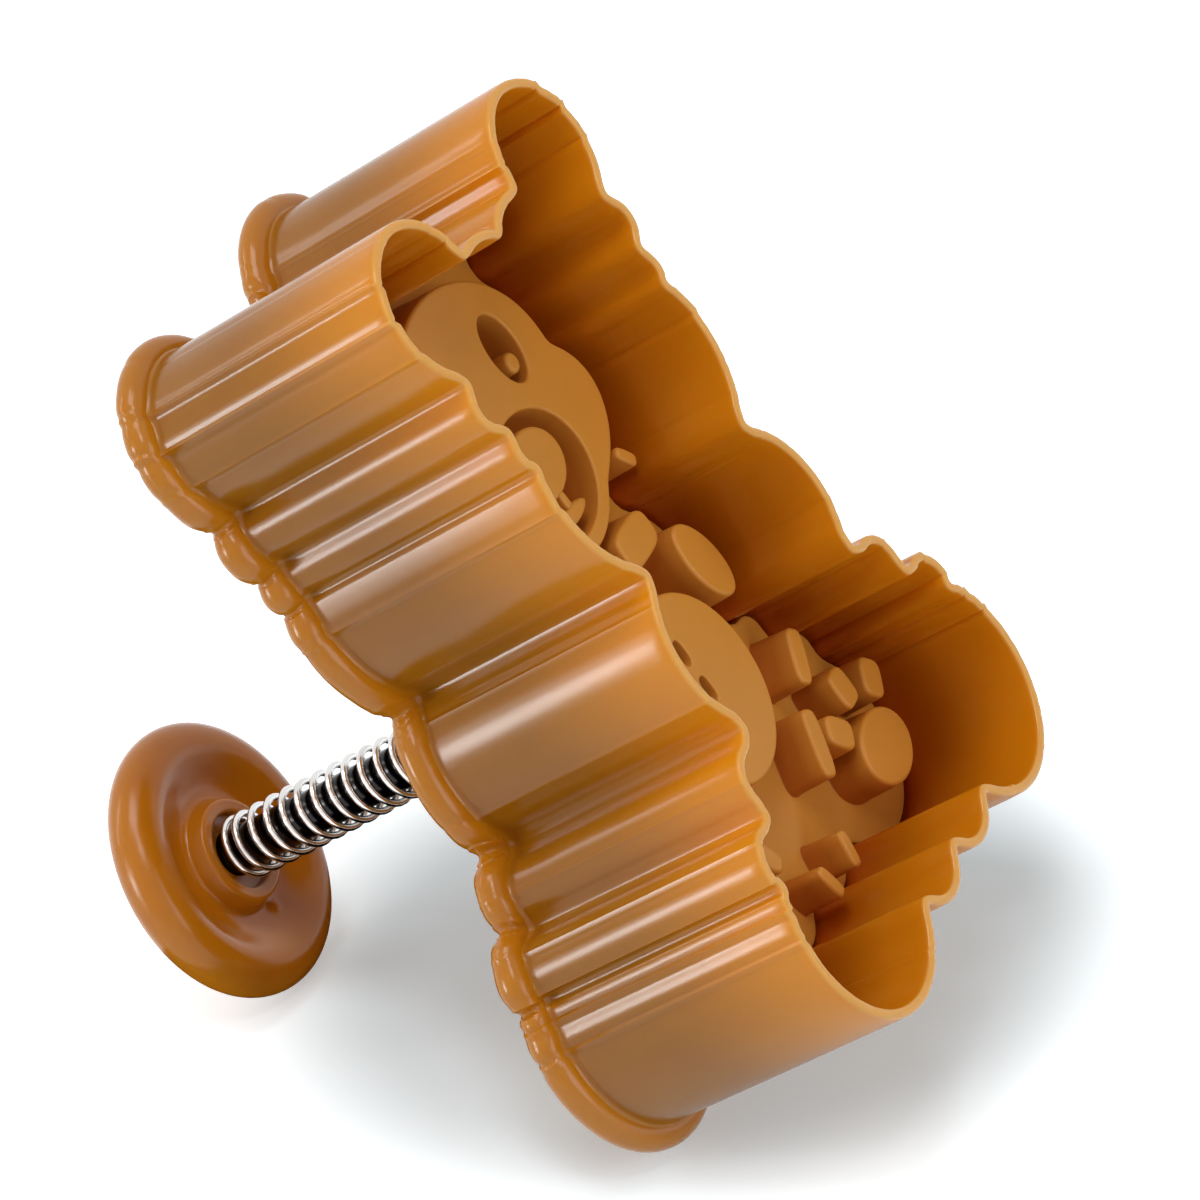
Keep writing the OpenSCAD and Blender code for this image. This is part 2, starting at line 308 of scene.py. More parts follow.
def fill_patch(piece, patch):
    """Closes the flat face between the loops of a patch."""
    bpy.ops.mesh.select_all(action="DESELECT")
    bm = bmesh.from_edit_mesh(piece.data)
    patches = bm.verts.layers.int["patch"]
    for edge in bm.edges:
        if edge.is_boundary and all(v[patches] == patch for v in edge.verts):
            edge.select_set(True)
    bmesh.update_edit_mesh(piece.data)
    bpy.ops.mesh.fill(use_beauty=True)


def spun_piece(name, section, steps):
    """A new piece: a closed half section of radii and heights, spun round the plunger's axis."""
    piece = start_piece(name)
    loft(piece, [[Vector((r, 0, z)) for r, z in section]])
    bpy.ops.mesh.spin(steps=steps, angle=TAU, center=(0, 0, 0), axis=(0, 0, 1))
    return piece


def finish_piece(piece, body, finish, nodes, smooth=35, deep_inside=False):
    """Closes the seams, turns the faces outwards, scales the piece to metres, gives it its finish, hangs
    it on its body and hides the nodes that it stands in for.
    """
    bpy.ops.mesh.select_all(action="SELECT")
    bpy.ops.mesh.remove_doubles(threshold=0.0005)
    bpy.ops.mesh.delete_loose(use_verts=True, use_edges=True, use_faces=False)
    bpy.ops.mesh.select_all(action="SELECT")
    bpy.ops.mesh.normals_make_consistent(inside=False)
    bpy.ops.mesh.select_all(action="DESELECT")
    bpy.ops.object.mode_set(mode="OBJECT")
    # Pieces deep_inside keep the depth attribute, the mask of the painted shade
    for name in ["number", "patch"] + ([] if deep_inside else ["depth"]):
        if name in piece.data.attributes:
            piece.data.attributes.remove(piece.data.attributes[name])
    piece.data.transform(Matrix.Scale(MM, 4))
    bpy.ops.object.shade_smooth_by_angle(angle=math.radians(smooth))
    piece.data.materials.clear()
    piece.data.materials.append(finish)
    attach(piece, body)
    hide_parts(*nodes)


# Shader maths

class Link:
    """A value on its way through a node tree; sums and products add Math nodes."""

    def __init__(self, shading, socket):
        self.shading, self.socket = shading, socket

    def maths(self, operation, *values):
        return self.shading.node("ShaderNodeMath", {"operation": operation}, dict(enumerate(values)))

    def __add__(self, other):
        return self.maths("ADD", self, other)

    def __sub__(self, other):
        return self.maths("SUBTRACT", self, other)

    def __rsub__(self, other):
        return self.maths("SUBTRACT", other, self)

    def __mul__(self, other):
        return self.maths("MULTIPLY", self, other)

    def ramp(self, low, high):
        """0 below low, 1 above high and a soft step between."""
        return self.shading.node(
            "ShaderNodeMapRange", {"interpolation_type": "SMOOTHSTEP"},
            {"Value": self, "From Min": low, "From Max": high})

    __radd__ = __add__
    __rmul__ = __mul__


class Shading:
    """The emptied node tree of a material or the world."""

    def __init__(self, owner, output_kind):
        owner.use_nodes = True
        self.tree = owner.node_tree
        self.tree.nodes.clear()
        self.output = self.tree.nodes.new(output_kind)

    def node(self, kind, settings=None, sockets=None, output=0):
        """Adds a node, sets it and fills its sockets with values or links."""
        node = self.tree.nodes.new(kind)
        for key, value in (settings or {}).items():
            setattr(node, key, value)
        for key, value in (sockets or {}).items():
            self.plug(node.inputs[key], value)
        return Link(self, node.outputs[output])

    def plug(self, socket, value):
        """Links or sets a socket."""
        if isinstance(value, Link):
            self.tree.links.new(value.socket, socket)
        elif socket.type == "RGBA":
            socket.default_value = (*value, 1)
        else:
            socket.default_value = value

    def show(self, shader):
        self.plug(self.output.inputs["Surface"], shader)

    def seen(self):
        """1 for the rays that see the background, from the camera or off metal and glass."""
        rays = [self.node("ShaderNodeLightPath", output=f"Is {kind} Ray")
                for kind in ("Camera", "Glossy", "Transmission")]
        found = rays[0].maths("MAXIMUM", rays[0], rays[1])
        return found.maths("MAXIMUM", found, rays[2])


class Finish(Shading):
    """A material with a Principled shader."""

    def __init__(self, name):
        self.material = bpy.data.materials.new(name)
        super().__init__(self.material, "ShaderNodeOutputMaterial")
        self.shader = self.node("ShaderNodeBsdfPrincipled")
        self.show(self.shader)

    def surface(self, **sockets):
        """Sets the shader's sockets, named with _ for each space."""
        for key, value in sockets.items():
            self.plug(self.shader.socket.node.inputs[key.replace("_", " ")], value)

    def place(self):
        """Object coordinates, in metres."""
        return self.node("ShaderNodeTexCoord", output="Object")

    def noise(self, place, scale, detail, roughness=0.5, stretch=None):
        """Noise round 0.5; stretch scales its place along each axis."""
        if stretch:
            place = self.node("ShaderNodeMapping", {}, {"Vector": place, "Scale": stretch})
        return self.node(
            "ShaderNodeTexNoise", {},
            {"Vector": place, "Scale": scale, "Detail": detail, "Roughness": roughness})

    def mix(self, share, a, b):
        """Colour between a and b."""
        return self.node(
            "ShaderNodeMix", {"data_type": "RGBA"}, {0: share, 6: a, 7: b}, output=2)

    def bump(self, height, distance, strength, **under):
        """A normal bent by a height, over the Normal under it if there is one."""
        return self.node("ShaderNodeBump", {}, {
            "Height": height, "Distance": distance, "Strength": strength, **under})


def linear(colour):
    """A colour's linear values from its display values."""
    return tuple(c / 12.92 if c <= 0.04045 else ((c + 0.055) / 1.055) ** 2.4 for c in colour)


# Heights in metres between which the shell's colour changes: painted light that makes the bead lighter,
# painted glow that makes the wall lighter towards its edge, and a painted highlight along the cutting edge
BEAD_PAINTED_LIGHT_FADE = (0.0418, 0.0432)
WALL_PAINTED_GLOW_FADE = (0.050, 0.072)
EDGE_HIGHLIGHT_FADE = (0.0679, 0.0684)
EDGE_HIGHLIGHT_COLOUR = (0.94, 0.71, 0.36)

# Range of the depth attribute over which the painted shade sets in, inside the cutter and on the sides of
# the stamp's shapes
PAINTED_SHADE_FADE = (0.12, 0.70)

# Light in the plastic: how far each colour spreads, and the scale of it in metres
GLOW_REACH = (1.0, 0.42, 0.12)
GLOW_SCALE = 0.0020


def plastic(name, colour, deep, gloss, grain, glow, hollow=None, thin=None):
    """Moulded caramel plastic: faint flow clouds, fine grain and a little light inside. The hollow colour
    is painted shade where the depth attribute is high; the glow colour is painted glow towards the cutting
    edge and painted light on the bead, with a painted highlight along the edge."""
    finish = Finish(name)
    place = finish.place()
    clouds = finish.noise(place, 90.0, 3.0)
    flow = finish.noise(place, 260.0, 4.0, 0.6, stretch=(1.0, 1.0, 0.12))
    dust = finish.noise(place, 5200.0, 2.0, 0.7)
    shade = clouds.ramp(0.35, 0.70) * 0.40 + flow.ramp(0.40, 0.75) * 0.08
    base = finish.mix(shade, linear(colour), linear(deep))
    if thin:
        height = finish.node("ShaderNodeSeparateXYZ", {}, {"Vector": place}, output="Z")
        # Painted glow: the wall turns lighter towards the cutting edge, as if lit through the plastic
        base = finish.mix(height.ramp(*WALL_PAINTED_GLOW_FADE), base, linear(thin))
        # Painted light: below the bead's top the shell takes part of the glow colour, so the bead and back
        # plate look more lit
        base = finish.mix((1 - height.ramp(*BEAD_PAINTED_LIGHT_FADE)) * 0.4, base, linear(thin))
    if hollow:
        # Painted shade: the hollow colour, darker and richer, where the depth attribute is high
        depth = finish.node("ShaderNodeAttribute", {"attribute_name": "depth"}, output="Fac")
        base = finish.mix(depth.ramp(*PAINTED_SHADE_FADE), base, linear(hollow))
    if thin:
        # Painted highlight: a pale line along the cutting edge
        base = finish.mix(height.ramp(*EDGE_HIGHLIGHT_FADE) * 0.6, base, linear(EDGE_HIGHLIGHT_COLOUR))
    wavy = finish.bump(clouds, 0.00012, 0.40)
    drawn = finish.bump(flow, 0.00001, 0.3, Normal=wavy)
    fine = finish.bump(dust, 0.00001, grain, Normal=drawn)
    finish.surface(
        Base_Color=base, Roughness=flow * 0.12 + dust * 0.06 + gloss, Normal=fine,
        IOR=1.42, Subsurface_Weight=glow, Subsurface_Radius=GLOW_REACH,
        Subsurface_Scale=GLOW_SCALE)
    return finish.material


def steel(name, colour, gloss, scratch, stretch):
    """Bright drawn or turned steel with fine lines along the way it was worked."""
    finish = Finish(name)
    place = finish.place()
    lines = finish.noise(place, 1800.0, 3.0, 0.6, stretch=stretch)
    stains = finish.noise(place, 240.0, 3.0)
    tint = finish.mix(stains.ramp(0.45, 0.75) * 0.35, linear(colour),
                      linear(tuple(0.72 * c for c in colour)))
    finish.surface(
        Base_Color=tint, Metallic=1.0, Roughness=lines * scratch + stains * 0.05 + gloss,
        Normal=finish.bump(lines, 0.00002, 0.4))
    return finish.material


def finished(name, maker, *colours, **more):
    """The material of that name, made on its first use."""
    return bpy.data.materials.get(name) or maker(name, *colours, **more)


# Settings

def a_number(name, text, default, **more):
    return bpy.props.FloatProperty(name=name, description=text, default=default, min=0.0, **more)


def a_length(name, text, default):
    return a_number(name, text, default, max=1.0, unit="LENGTH", subtype="DISTANCE", precision=5)


def a_share(name, text, default):
    return a_number(name, text, default, max=1.0, subtype="FACTOR")


def a_power(name, text, default):
    return a_number(name, text, default, unit="POWER")


def a_colour(name, text, default):
    return bpy.props.FloatVectorProperty(
        name=name, description=text, default=default, min=0.0, max=1.0, size=3,
        subtype="COLOR_GAMMA")


class ShellSettings(bpy.types.PropertyGroup):
    wall: a_length("Wall", "Thickness of the cutting wall", 0.001)
    edge_round: a_length("Edge rounding", "Rounding of the wall's free edge", 0.00030)
    bead_r: a_length("Bead radius", "Radius of the bead round the back end", 0.0016)
    bead_out: a_length("Bead reach", "Bead's centre line outside the wall's face", 0.00045)
    crease: a_length("Crease", "Rounding between the wall and the bead", 0.00018)
    spacing: a_length("Spacing", "Distance between points round the outline", 0.00026)
    sleeve_r: a_length("Sleeve radius", "Outer radius of the guide sleeve", 0.0042)
    bore_r: a_length("Bore radius", "Radius of the sleeve's bore", 0.00216)


class StampSettings(bpy.types.PropertyGroup):
    gap: a_length("Gap", "Clearance between the stamp and the wall", 0.00035)
    relief: a_length("Relief", "Height of the raised shapes", 0.0045)
    edge_round: a_length("Edge rounding", "Rounding of the raised shapes' top edges", 0.00038)
    draft: a_length("Draft", "Taper of the raised shapes over their height", 0.00012)
    spacing: a_length("Spacing", "Distance between points round the raised shapes", 0.00030)
    hub_r: a_length("Hub radius", "Outer radius of the hub under the plate", 0.005)


class KnobSettings(bpy.types.PropertyGroup):
    radius: a_length("Radius", "Radius of the knob", 0.0135)
    rim_r: a_length("Rim radius", "Radius of the rolled rim's section", 0.0026)
    dish: a_length("Dish", "Depth of the dish inside the rim", 0.0019)
    collar_r: a_length("Collar radius", "Outer radius of the collar round the spring", 0.0052)
    collar_h: a_length("Collar height", "Height of the collar over the spring's seat", 0.0012)
    shaft_r: a_length("Shaft radius", "Radius of the polished shaft", 0.0021)


class SpringSettings(bpy.types.PropertyGroup):
    coil_r: a_length("Coil radius", "Radius of the spring's centre line", 0.0029)
    wire_r: a_length("Wire radius", "Radius of the spring's wire", 0.00035)
    open_turns: bpy.props.IntProperty(
        name="Open turns", description="Open turns between the closed ends", default=15, min=4)
    length: a_length("Length", "Length of the spring at rest", 0.035)
    keep: a_share("Kept length", "Share of the spring's length when it is pressed", 0.70)


class ColourSettings(bpy.types.PropertyGroup):
    shell: a_colour("Shell", "Caramel of the shell", (0.65, 0.41, 0.04))
    shell_deep: a_colour("Shell, deep", "Darker flow in the shell", (0.60, 0.36, 0.03))
    # Painted glow: the wall's lighter colour towards its edge, also mixed in part into the bead
    shell_thin: a_colour("Shell, thin", "Lighter caramel of the thin edge", (0.92, 0.585, 0.07))
    # Painted shade: the darker colour deep inside the cutter
    shell_painted_shade: a_colour("Shell, hollow", "Rich caramel deep inside", (0.66, 0.25, 0.005))
    stamp: a_colour("Stamp", "Caramel of the stamp", (0.825, 0.555, 0.20))
    stamp_deep: a_colour("Stamp, deep", "Darker flow in the stamp", (0.79, 0.52, 0.17))
    # Painted shade: the darker colour on the sides of the stamp's raised shapes
    stamp_painted_shade: a_colour("Stamp, sides", "Rich caramel of the shapes' sides", (0.66, 0.32, 0.04))
    knob: a_colour("Knob", "Caramel of the knob", (0.79, 0.49, 0.06))
    knob_deep: a_colour("Knob, deep", "Darker flow in the knob", (0.70, 0.39, 0.03))
    steel: a_colour("Steel", "Steel of the spring, washer and screw", (0.92, 0.91, 0.90))
    shaft: a_colour("Shaft", "Polished dark steel of the shaft", (0.20, 0.19, 0.19))


class StageSettings(bpy.types.PropertyGroup):
    top: a_power("Top light", "Power of the softbox overhead", 1.2)
    side: a_power("Side light", "Power of the softbox at the right", 1.2)
    strip: a_power("Strip light", "Power of the narrow strip at the left", 0.3)
    low: a_power("Low light", "Power of the softbox low at the left", 0.65)
    core: a_power("Low core", "Power of the bright middle of the low softbox", 0.52)
    front: a_power("Front light", "Power of the small softbox over the camera", 0.42)
    ambient: a_share("Ambient", "Strength of the room's light", 0.22)


SETTINGS = {
    "cutter_shell": ShellSettings,
    "cutter_stamp": StampSettings,
    "cutter_knob": KnobSettings,
    "cutter_spring": SpringSettings,
    "cutter_colours": ColourSettings,
    "cutter_stage": StageSettings,
}


# The shell

# Fillet between the wall and the back plate, in millimetres
FOOT_R = 0.6

# How far each face of the wall draws in towards the rim, and how uneven the rim is, in millimetres
RIM_DRAFT = 0.04
RIM_ROUGH = 0.05

# Heights of the rings along the wall, inside and outside
INNER_LEVELS = (44, 50, 56, 62, 67)
OUTER_LEVELS = (67, 62, 56, 50, 45)

# The bead's size against its radius: its even change, its pinches and its unevenness; then the
# share of the wall's folds that it follows
BEAD_SWELL = (-0.08, -0.15, 0.02)
BEAD_WAVE = 0.9
BEAD_STEPS = 20

# Rounding of the guide sleeve: foot, outer and inner top edge, lower edge, in millimetres
SLEEVE_ROUNDS = (0.4, 0.3, 0.25, 0.2)


def waved(station):
    """The wall's folds, level."""
    return station.wave, 0.0


def rough_rim(station):
    """The wall's folds, with the rim's uneven height."""
    rough = noise.noise(Vector((station.run * 1.7, 3.1, 0.0)))
    return station.wave, -RIM_ROUGH * (1 + rough)


class CUTTER_OT_shell(bpy.types.Operator):
    """Models the wall, bead, back plate and guide sleeve as one moulding"""

    bl_idname = "cutter.shell"
    bl_label = "Cutter shell"

    def inner_face(self, wall):
        """Section from the back plate's edge up the wall's inner face."""
        foot = -wall - FOOT_R
        points = [(foot - 0.3, BACK_TOP_Z)]
        points += rounded((foot, BACK_TOP_Z + FOOT_R), 270, 90, FOOT_R, 3)
        return points + [(-wall, z) for z in INNER_LEVELS]

    def rim(self, wall, edge_r):
        """Section over the rounded cutting edge, from inside to outside."""
        inside, outside = -wall + RIM_DRAFT + edge_r, -RIM_DRAFT - edge_r
        return (rounded((inside, EDGE_Z - edge_r), 180, -90, edge_r, 3)
                + rounded((outside, EDGE_Z - edge_r), 90, -90, edge_r, 3))

    def bead_ring(self, turn, bead_r, bead_out, ring):
        """One line along the bead, at a turn in degrees round its section."""
        across, up = unit(turn)
        even, pinched, uneven = BEAD_SWELL

        def shift(station):
            rough = noise.noise(Vector((station.run * 0.35, 7.7, 0.0)))
            swell = bead_r * (even + pinched * station.pinch + uneven * rough)
            return station.wave * BEAD_WAVE + swell * across, swell * up

        return ring(bead_out + bead_r * across, BEAD_Z + bead_r * up, shift)

    def bead_rings(self, bead_r, bead_out, crease, ring):
        """Down the wall's foot and round the bead to the back face."""
        top_turn = math.degrees(math.acos(-bead_out / bead_r))
        bead_top = BEAD_Z + bead_r * unit(top_turn)[1]
        rings = [ring(0, bead_top + 0.5), ring(0.02, bead_top + crease),
                 ring(0.06, bead_top + 0.3 * crease)]
        low_turn = math.degrees(math.asin((BACK_Z - BEAD_Z) / bead_r))
        first, last = top_turn - 8, -180 - low_turn + 4
        for k in range(BEAD_STEPS + 1):
            turn = first + (last - first) * k / BEAD_STEPS
            rings.append(self.bead_ring(turn, bead_r, bead_out, ring))
        seat = bead_out + bead_r * unit(-180 - low_turn)[0]
        return rings + [ring(seat - 0.06, BACK_Z, None), ring(seat - 0.4, BACK_Z, None)]

    def sleeve(self, sleeve_r, bore_r):
        """Section of the guide sleeve, from the back plate's inner face to its outer one."""
        foot, outer, inner, lower = SLEEVE_ROUNDS
        points = [(sleeve_r + foot + 0.3, BACK_TOP_Z), (sleeve_r + foot, BACK_TOP_Z)]
        points += rounded((sleeve_r + foot, BACK_TOP_Z + foot), 270, -90, foot, 4)[1:]
        points += rounded((sleeve_r - outer, SLEEVE_TOP_Z - outer), 0, 90, outer, 4)
        points += rounded((bore_r + inner, SLEEVE_TOP_Z - inner), 90, 90, inner, 4)
        points += rounded((bore_r + lower, BACK_Z + lower), 180, 90, lower, 3)
        return points + [(bore_r + 0.5, BACK_Z)]

    def execute(self, context):
        s = context.scene.cutter_shell
        colours = context.scene.cutter_colours
        wall = mm(s.wall)
        inner_patch, outer_patch = 1, 2

        def ring(out, z, shift=waved):
            return outline(out, z, mm(s.spacing), shift)

        rings = [ring(out, z) for out, z in self.inner_face(wall)]
        # Depth down the inner face from the cutting edge; it sets the painted shade inside
        depths = [(EDGE_Z - r[0].z) / (EDGE_Z - BACK_TOP_Z) for r in rings]
        rings += [ring(out, z, rough_rim) for out, z in self.rim(wall, mm(s.edge_round))]
        rings += [ring(0, z) for z in OUTER_LEVELS]
        rings += self.bead_rings(mm(s.bead_r), mm(s.bead_out), mm(s.crease), ring)
        piece = start_piece("shell_moulding")
        loft(piece, rings, inner_patch, outer_patch, depths)
        sleeve = self.sleeve(mm(s.sleeve_r), mm(s.bore_r))
        loft(piece, [circle(r, z) for r, z in sleeve], inner_patch, outer_patch)
        for patch in (inner_patch, outer_patch):
            fill_patch(piece, patch)
        finish = finished(
            "shell_caramel", plastic, colours.shell, colours.shell_deep,
            gloss=0.10, grain=0.5, glow=0.42,
            hollow=colours.shell_painted_shade, thin=colours.shell_thin)
        finish_piece(piece, "shell", finish, ["cutter_shell"], deep_inside=True)
        return {"FINISHED"}


# The stamp

# Raised shapes and hollows as shares of the figure's height: x, y, half width, half height;
# then turn in degrees and the power of the superellipse, 2 for an oval
FACE = [(0, 0.330, 0.165, 0.125), (0, 0.248, 0.192, 0.108), (0, 0.215, 0.115, 0.098)]
FACE_MIDDLE = (0, 0.262)
EYE = (0.080, 0.345, 0.029, 0.042, 0, 2)
PUPIL = (0.080, 0.326, 0.014, 0.014, 0, 2)
MOUTH_HOLLOW = (0, 0.215, 0.092, 0.075, 0, 2)
NOSE = (0, 0.232, 0.058, 0.043, 0, 2)
LIP = (0, 0.183, 0.008, 0.012, 0, 3.4)
MOUTH = (0, 0.165, 0.034, 0.011, 0, 2)
BELLY = (0, -0.083, 0.115, 0.118, 0, 2)
STITCHES = [(0, y, 0.007, 0.015, 0, 3.4) for y in (-0.033, -0.083, -0.133)]
SINGLE = [(0, 0.082, 0.022, 0.022, 0, 2)]
PAIRED = [
    (0.170, 0.485, 0.053, 0.053, 0, 2),  # inner ear
    (0.149, 0.152, 0.010, 0.019, 40, 3.4),  # cheek mark
    (0.066, 0.086, 0.044, 0.026, 0, 3.4),  # bow
    (0.150, 0.004, 0.034, 0.056, 15, 2),  # paw
    (0.188, -0.160, 0.036, 0.016, 50, 3.4),  # thigh
    (0.113, -0.237, 0.043, 0.016, 60, 3.4),  # seam
    (0.034, -0.336, 0.011, 0.024, -15, 3.4),  # rump mark
    (0.222, -0.315, 0.060, 0.045, 0, 2),  # sole
]
SOLE = PAIRED[-1]

# Toes round each sole: half sizes, distance from the sole's middle and directions
TOE = (0.026, 0.021)
TOE_REACH = 0.086
TOE_TURNS = (45, 90, 135)

# Half width in millimetres that stands for a shape too broad to limit its own edges
BROAD = 8.0

# Ribs under the plate: size and middle in millimetres
RIBS = [((24, 1.4, 2.4), (0, 0)), ((1.4, 52.8, 2.4), (0, 4))]
RIB_DROP = 1.1


def mirrored(shape):
    """The same shape on the other half."""
    x, y, half_w, half_h, turn, power = shape
    return -x, y, half_w, half_h, -turn, power


def size_of(shape):
    """Half of a shape's width where it is narrowest, in millimetres."""
    return FIGURE_H * min(shape[2:4])


def toes():
    """The three toes over each sole, turned to face its middle."""
    found = []
    for turn in TOE_TURNS:
        across, up = unit(turn)
        toe = (SOLE[0] + TOE_REACH * across, SOLE[1] + TOE_REACH * up, *TOE, turn, 3.4)
        found += [toe, mirrored(toe)]
    return found


def pad_points(shape):
    """Dense points round a superellipse, in millimetres."""
    x, y, half_w, half_h, turn, power = shape
    across, up = unit(turn)
    points = []
    for k in range(720):
        c, s = unit(k / 2)
        px = half_w * math.copysign(abs(c) ** (2 / power), c)
        py = half_h * math.copysign(abs(s) ** (2 / power), s)
        points.append(FIGURE_H * Vector((x + px * across - py * up, y + px * up + py * across)))
    return points


def face_points():
    """Dense points round the face: the furthest reach of its three ovals, with soft corners."""
    points = []
    mx, my = FACE_MIDDLE
    for k in range(1440):
        c, s = unit(k / 4)
        reaches = []
        for x, y, half_w, half_h in FACE:
            dx, dy = (mx - x) / half_w, (my - y) / half_h
            a = (c / half_w) ** 2 + (s / half_h) ** 2
            b = dx * c / half_w + dy * s / half_h
            reaches.append((-b + math.sqrt(b * b - a * (dx * dx + dy * dy - 1))) / a)
        reach = sum(r ** 40 for r in reaches) ** (1 / 40)
        points.append(FIGURE_H * Vector((mx + reach * c, my + reach * s)))
    return points


def evened(points, spacing):
    """The same closed line with its points at even distances."""
    loop = points + points[:1]
    runs = [0.0]
    for a, b in zip(loop, loop[1:]):
        runs.append(runs[-1] + (b - a).length)
    count = max(24, round(runs[-1] / spacing))
    found, k = [], 0
    for i in range(count):
        run = runs[-1] * i / count
        while runs[k + 1] < run:
            k += 1
        share = (run - runs[k]) / max(runs[k + 1] - runs[k], 1e-9)
        found.append(loop[k].lerp(loop[k + 1], share))
    return found


def widened(points, by, z):
    """A ring at height z, with each point moved outwards along its normal."""
    ring = []
    for before, point, after in zip(points[-1:] + points[:-1], points, points[1:] + points[:1]):
        along = (after - before).normalized()
        ring.append(Vector((point.x + along.y * by, point.y - along.x * by, z)))
    return ring


class CUTTER_OT_stamp(bpy.types.Operator):
    """Models the stamp's plate with its relief, and the hub and ribs under it"""

    bl_idname = "cutter.stamp"
    bl_label = "Stamp"

    def raised(self, piece, points, size, base_patch, top_patch, hollow=False):
        """Side of a raised shape, or of a hollow in one, with a fillet and a rounded top edge that
        are smaller on small shapes."""
        s = bpy.context.scene.cutter_stamp
        edge_r = min(mm(s.edge_round), 0.42 * size) * (0.7 if hollow else 1)
        foot = min(0.16, 0.2 * size)
        draft, height = mm(s.draft), mm(s.relief)
        side = [(foot, 0.0), (0.35 * foot, 0.3 * foot), (0.0, foot), (-0.5 * draft, 0.55 * height)]
        side += rounded((-draft - edge_r, height - edge_r), 0, 90, edge_r, 4)
        side.append((side[-1][0] - 0.05, height))
        turned = -1 if hollow else 1
        rings = [widened(points, turned * by, FLOOR_Z + z) for by, z in side]
        # The depth values set the painted shade on the sides: strong low down, fading towards the rounded
        # top edge, none on the floor and top
        loft(piece, rings, base_patch, top_patch, depths=(0.0, 0.5, 0.55, 0.45, 0.25))

    def relief(self, piece, floor, gap):
        """All the raised shapes with their hollows and islands; gives their tops' patches."""
        blocks = [(face_points(), BROAD, [
            (EYE, [PUPIL]), (mirrored(EYE), [mirrored(PUPIL)]), (MOUTH_HOLLOW, [NOSE, LIP, MOUTH])])]
        blocks.append((pad_points(BELLY), BROAD, [(stitch, []) for stitch in STITCHES]))
        singles = SINGLE + PAIRED + [mirrored(shape) for shape in PAIRED] + toes()
        blocks += [(pad_points(shape), size_of(shape), []) for shape in singles]
        tops = []
        for points, size, hollows in blocks:
            top = floor + len(tops) + 1
            tops.append(top)
            self.raised(piece, evened(points, gap), size, floor, top)
            for shape, islands in hollows:
                bottom = floor + len(tops) + 1
                tops.append(bottom)
                self.raised(piece, evened(pad_points(shape), gap), size_of(shape), bottom, top,
                            hollow=True)
                for island in islands:
                    tops.append(floor + len(tops) + 1)
                    self.raised(piece, evened(pad_points(island), 0.8 * gap), size_of(island),
                                bottom, tops[-1])
        return tops

    def execute(self, context):
        s = context.scene.cutter_stamp
        colours = context.scene.cutter_colours
        reach = -mm(context.scene.cutter_shell.wall) - mm(s.gap)
        hub_r, bore_r = mm(s.hub_r), mm(context.scene.cutter_knob.shaft_r) + 0.02
        under, seat, floor = 1, 2, 3

        piece = start_piece("stamp_plate_moulding")
        plate = [(-0.6, STAMP_Z), (-0.3, STAMP_Z), (-0.09, STAMP_Z + 0.09), (0, STAMP_Z + 0.3),
                 (0, FLOOR_Z - 0.3), (-0.09, FLOOR_Z - 0.09), (-0.3, FLOOR_Z), (-0.36, FLOOR_Z)]
        loft(piece, [outline(reach + out, z, 0.5) for out, z in plate], under, floor)
        tops = self.relief(piece, floor, mm(s.spacing))
        hub = [(hub_r + 0.4, STAMP_Z), (hub_r, STAMP_Z - 0.4), (hub_r, HUB_Z + 0.4),
               (hub_r - 0.4, HUB_Z), (bore_r + 0.2, HUB_Z), (bore_r, HUB_Z + 0.2),
               (bore_r, SHAFT_TOP_Z)]
        loft(piece, [circle(r, z) for r, z in hub], under, seat)
        for number in [floor, under, seat] + tops:
            fill_patch(piece, number)
        for size, middle in RIBS:
            bpy.ops.mesh.select_all(action="DESELECT")
            bpy.ops.mesh.primitive_cube_add(
                size=1, location=(*middle, STAMP_Z - RIB_DROP), scale=size)
            bpy.ops.mesh.bevel(offset=0.2, offset_type="OFFSET", segments=2, affect="EDGES")
        # The stamp's painted shade colour goes on the raised shapes' sides
        finish = finished(
            "stamp_caramel", plastic, colours.stamp, colours.stamp_deep,
            gloss=0.38, grain=0.9, glow=0.18, hollow=colours.stamp_painted_shade)
        finish_piece(piece, "plunger", finish, ["stamp_plate"],
                     deep_inside=True)
        return {"FINISHED"}


# The knob and its plug

# Holes in the knob, in millimetres: radius and depth of the plug's and the screw head's recess,
# and the radii of the screw's hole and the shaft's socket
PLUG_HOLE = (3.83, 0.8)
HEAD_HOLE = (2.45, 2.1)
SCREW_HOLE_R = 1.4
SOCKET_R = 2.12

# Rounding of the collar's foot, its top edge and the lip of the spring's seat, in millimetres
COLLAR_FOOT = 0.8
COLLAR_ROUND = 0.55
SEAT_LIP = 0.45

# Steps round the rolled rim and across the dish
RIM_STEPS = 24
DISH_STEPS = 24

# Mark of the mould's gate in the dish: place, radius and height in millimetres
GATE_AT = (0.8, -6.5)
GATE_R = GATE_H = 0.55

# The plug: radius, thickness, rounding of its edges and depth of its dimple, in millimetres
PLUG_R = 3.8
PLUG_T = 0.8
PLUG_ROUND = 0.1
PLUG_DIMPLE = 0.12


